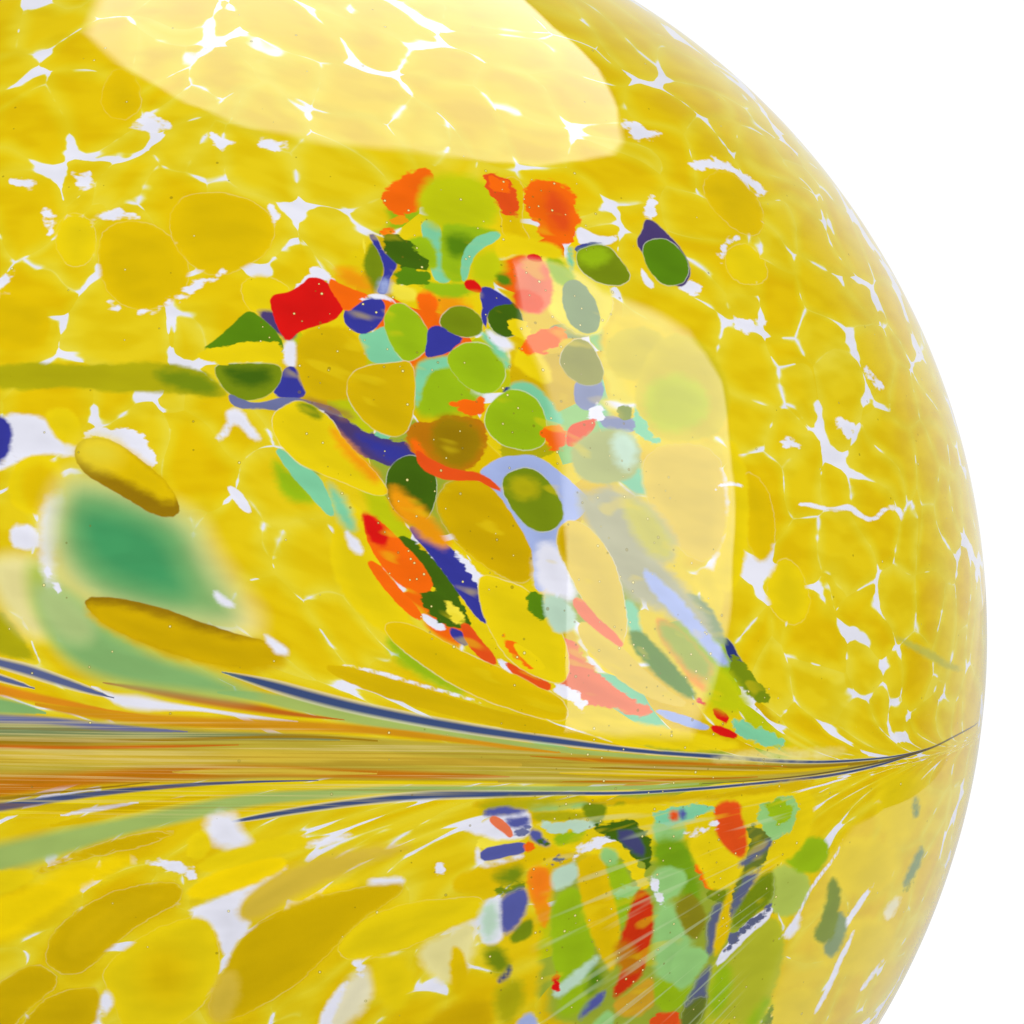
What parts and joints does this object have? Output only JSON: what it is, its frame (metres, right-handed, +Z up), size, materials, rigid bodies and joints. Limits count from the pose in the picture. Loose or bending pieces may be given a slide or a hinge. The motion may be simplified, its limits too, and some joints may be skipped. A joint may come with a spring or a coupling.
{
  "type": "gazing ball",
  "caption": "Sealed, hand-blown round glass globe, yellow chips and a coloured streak over a white core, resting on a small polished flat.",
  "frame": {"origin": "middle of the small flat that the ball rests on", "axes": "+Z up through the middle of the ball; -Y is the side that the picture shows, with its coloured streak"},
  "size_m": [0.254, 0.254, 0.253],
  "materials": {
    "cased_glass": "clear glossy casing over transparent yellow, blue, green and red chips on an opaque white core"
  },
  "bodies": {
    "root": {"glass_ball": "cased_glass"}
  },
  "joints": []
}
